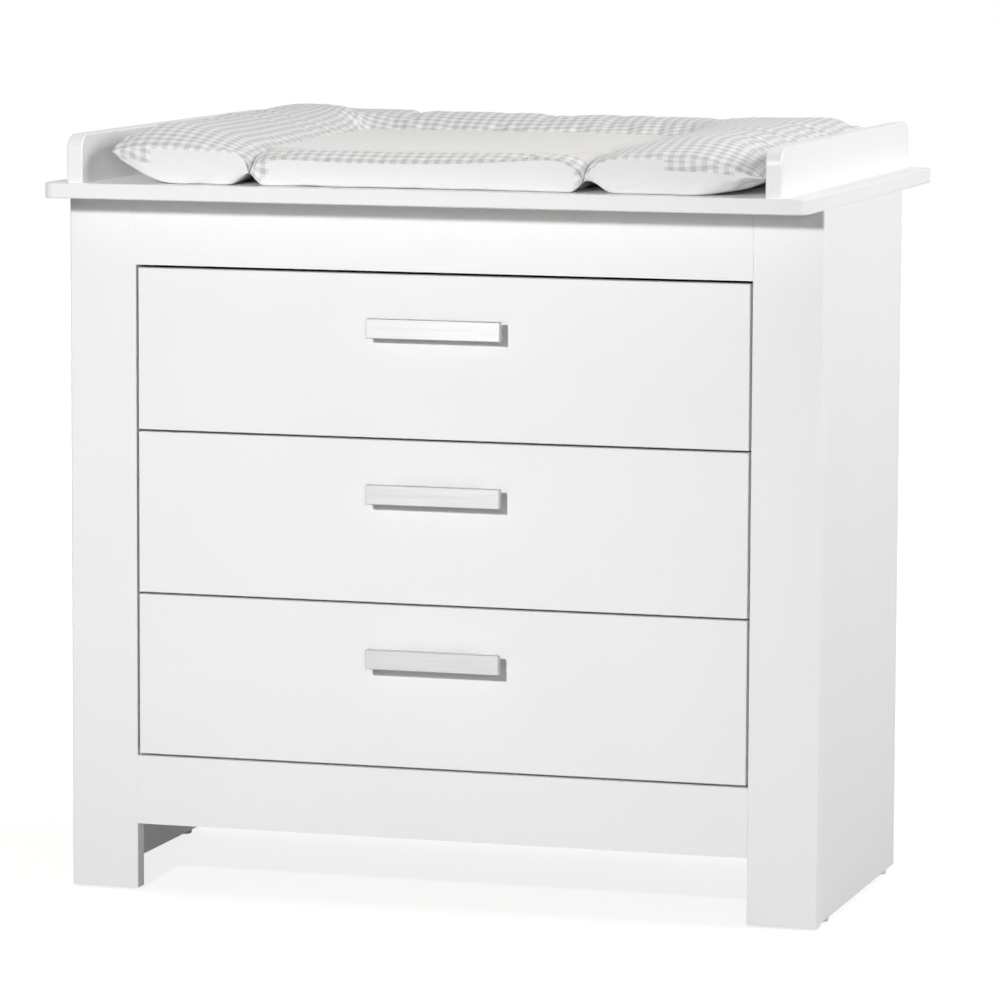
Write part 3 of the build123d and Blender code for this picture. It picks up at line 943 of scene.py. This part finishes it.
# ---- Stage ----
class SetStage(bpy.types.Operator):
    """Floor, lights and camera"""
    bl_idname = "changing_table.set_stage"
    bl_label = "Set the stage"
    LIT_SIDE = (-0.45, 0.85, 0.25)  # where the walls that light the room stand
    KEY_PLACE, KEY_AIM = (-0.21, -3.32, 1.58), (-0.42, -1.35, 0.08)
    CAMERA_PLACE = (1.9547, -6.6271, 1.3040)
    YAW, PITCH, ROLL = math.radians(16.4245), math.radians(6.7811), math.radians(0.2563)

    def execute(self, context):
        scene = context.scene
        stage = scene.table_stage
        scene.view_settings.view_transform = "Standard"
        self.room(scene, stage)
        self.floor(scene.table_colours.floor)
        self.shaded_lamp(stage)
        self.lamp("Fill light", (2.03, -4.83, 1.58), (0, -0.27, 0.5), 0.45, stage.fill)
        self.lamp("Side light", (2.7, 0.1, 1.9), (0.48, 0, 0.6), 1.2, stage.side)
        self.lamp("Top light", (0, 0.2, 2.7), (0, 0, 0.9), 1.6, stage.top)
        self.camera(scene, stage)
        return {"FINISHED"}

    def room(self, scene, stage):
        """Light from the back, the left and above, and plain white wherever it is seen."""
        world = bpy.data.worlds.new("Room")
        scene.world = world
        world.use_nodes = True
        tree = world.node_tree
        seen = self.seen_directly(tree)
        way = add_node(tree, "ShaderNodeTexCoord").outputs["Generated"]
        from_back = add_node(tree, "ShaderNodeVectorMath",
                             {"operation": "DOT_PRODUCT", 1: self.LIT_SIDE}, {0: way})
        light = add_node(tree, "ShaderNodeMath",
                         {"operation": "MULTIPLY", "use_clamp": True, 1: stage.sky},
                         {0: from_back.outputs["Value"]})
        strength = add_node(tree, "ShaderNodeMix", {"data_type": "FLOAT"}, {"Factor": seen})
        tree.links.new(light.outputs[0], strength.inputs[2])
        strength.inputs[3].default_value = 1.0
        back = tree.nodes["Background"]
        back.inputs["Color"].default_value = (1, 1, 1, 1)
        tree.links.new(strength.outputs[0], back.inputs["Strength"])

    def seen_directly(self, tree):
        """1 where the eye, a reflection or a look through glass meets the surface, else 0."""
        path = add_node(tree, "ShaderNodeLightPath")
        either = add_node(tree, "ShaderNodeMath", {"operation": "MAXIMUM"},
                          {0: path.outputs["Is Camera Ray"], 1: path.outputs["Is Glossy Ray"]})
        return add_node(tree, "ShaderNodeMath", {"operation": "MAXIMUM"},
                        {0: either.outputs[0], 1: path.outputs["Is Transmission Ray"]}).outputs[0]

    def floor(self, base):
        """A floor with a glow that only the eye and reflections meet, so that it looks white
        where it is lit, keeps a pale shadow and lights the table as a grey floor does."""
        deselect()
        bpy.ops.mesh.primitive_plane_add(size=14, location=(0, 2, -0.001))
        ground = bpy.context.object
        ground.name = "studio_floor"
        bpy.ops.object.transform_apply(location=True, rotation=True, scale=True)
        material, tree, shader = new_material("Studio floor", base, 0.9,
                                              Emission_Color=(1, 1, 1, 1))
        place = add_node(tree, "ShaderNodeTexCoord").outputs["Object"]
        far = add_node(tree, "ShaderNodeVectorMath", {"operation": "LENGTH"}, {0: place})
        fade = add_node(tree, "ShaderNodeMapRange",
                        {"From Min": 0.7, "From Max": 2.2, "To Min": 0.8, "To Max": 1.0},
                        {"Value": far.outputs["Value"]}).outputs["Result"]
        glow = add_node(tree, "ShaderNodeMath", {"operation": "MULTIPLY"},
                        {0: fade, 1: self.seen_directly(tree)}).outputs[0]
        tree.links.new(glow, shader.inputs["Emission Strength"])
        ground.data.materials.append(material)

    def lamp(self, name, place, target, size, energy):
        light = bpy.data.lights.new(name, "AREA")
        light.size = size
        light.energy = energy
        self.hang(light, place, target)

    def shaded_lamp(self, stage):
        """A lamp aimed at the floor in front, so that its light is nearly as strong low down."""
        light = bpy.data.lights.new("Key light", "SPOT")
        light.energy = stage.key
        light.shadow_soft_size = 0.1
        light.spot_size = math.radians(100)
        light.spot_blend = 1
        self.hang(light, self.KEY_PLACE, self.KEY_AIM)

    def hang(self, light, place, target):
        """Put a lamp in its place and turn it to its target."""
        lamp = bpy.data.objects.new(light.name, light)
        lamp.location = place
        lamp.rotation_euler = (Vector(target) - Vector(place)).to_track_quat("-Z", "Y").to_euler()
        bpy.context.scene.collection.objects.link(lamp)

    def camera(self, scene, stage):
        """A long lens from the front right, a little above the top."""
        data = bpy.data.cameras.new("Camera")
        data.lens = stage.lens
        data.sensor_width = 36
        data.clip_end = 100
        camera = bpy.data.objects.new("Camera", data)
        scene.collection.objects.link(camera)
        turn = (Matrix.Rotation(self.YAW, 4, "Z")
                @ Matrix.Rotation(math.pi / 2 - self.PITCH, 4, "X")
                @ Matrix.Rotation(self.ROLL, 4, "Z"))
        camera.matrix_world = Matrix.Translation(self.CAMERA_PLACE) @ turn
        scene.camera = camera


class TablePanel(bpy.types.Panel):
    """Changing table"""
    bl_idname = "VIEW3D_PT_changing_table"
    bl_label = "Changing table"
    bl_space_type = "VIEW_3D"
    bl_region_type = "UI"
    bl_category = "Changing table"

    def draw(self, context):
        for kind in STEPS:
            self.layout.operator(kind.bl_idname)
        for name in GROUPS:
            group = getattr(context.scene, name)
            for key in group.bl_rna.properties.keys():
                if key not in ("rna_type", "name"):
                    self.layout.prop(group, key)


GROUPS = {"table_colours": TableColours, "table_mat": TableMat, "table_screws": TableScrews,
          "table_stage": TableStage}
STEPS = (FinishBoards, FinishMetal, DriveScrews, SewMat, TackCorners, SetStage)


def register():
    for kind in (*GROUPS.values(), *STEPS, TablePanel):
        bpy.utils.register_class(kind)
    for name, kind in GROUPS.items():
        setattr(bpy.types.Scene, name, bpy.props.PointerProperty(type=kind))


def unregister():
    for name in GROUPS:
        delattr(bpy.types.Scene, name)
    for kind in reversed((*GROUPS.values(), *STEPS, TablePanel)):
        bpy.utils.unregister_class(kind)


def main():
    register()
    bpy.ops.changing_table.finish_boards()
    bpy.ops.changing_table.finish_metal()
    bpy.ops.changing_table.drive_screws()
    bpy.ops.changing_table.sew_mat()
    bpy.ops.changing_table.tack_corners()
    bpy.ops.changing_table.set_stage()


if __name__ == "__main__":
    main()
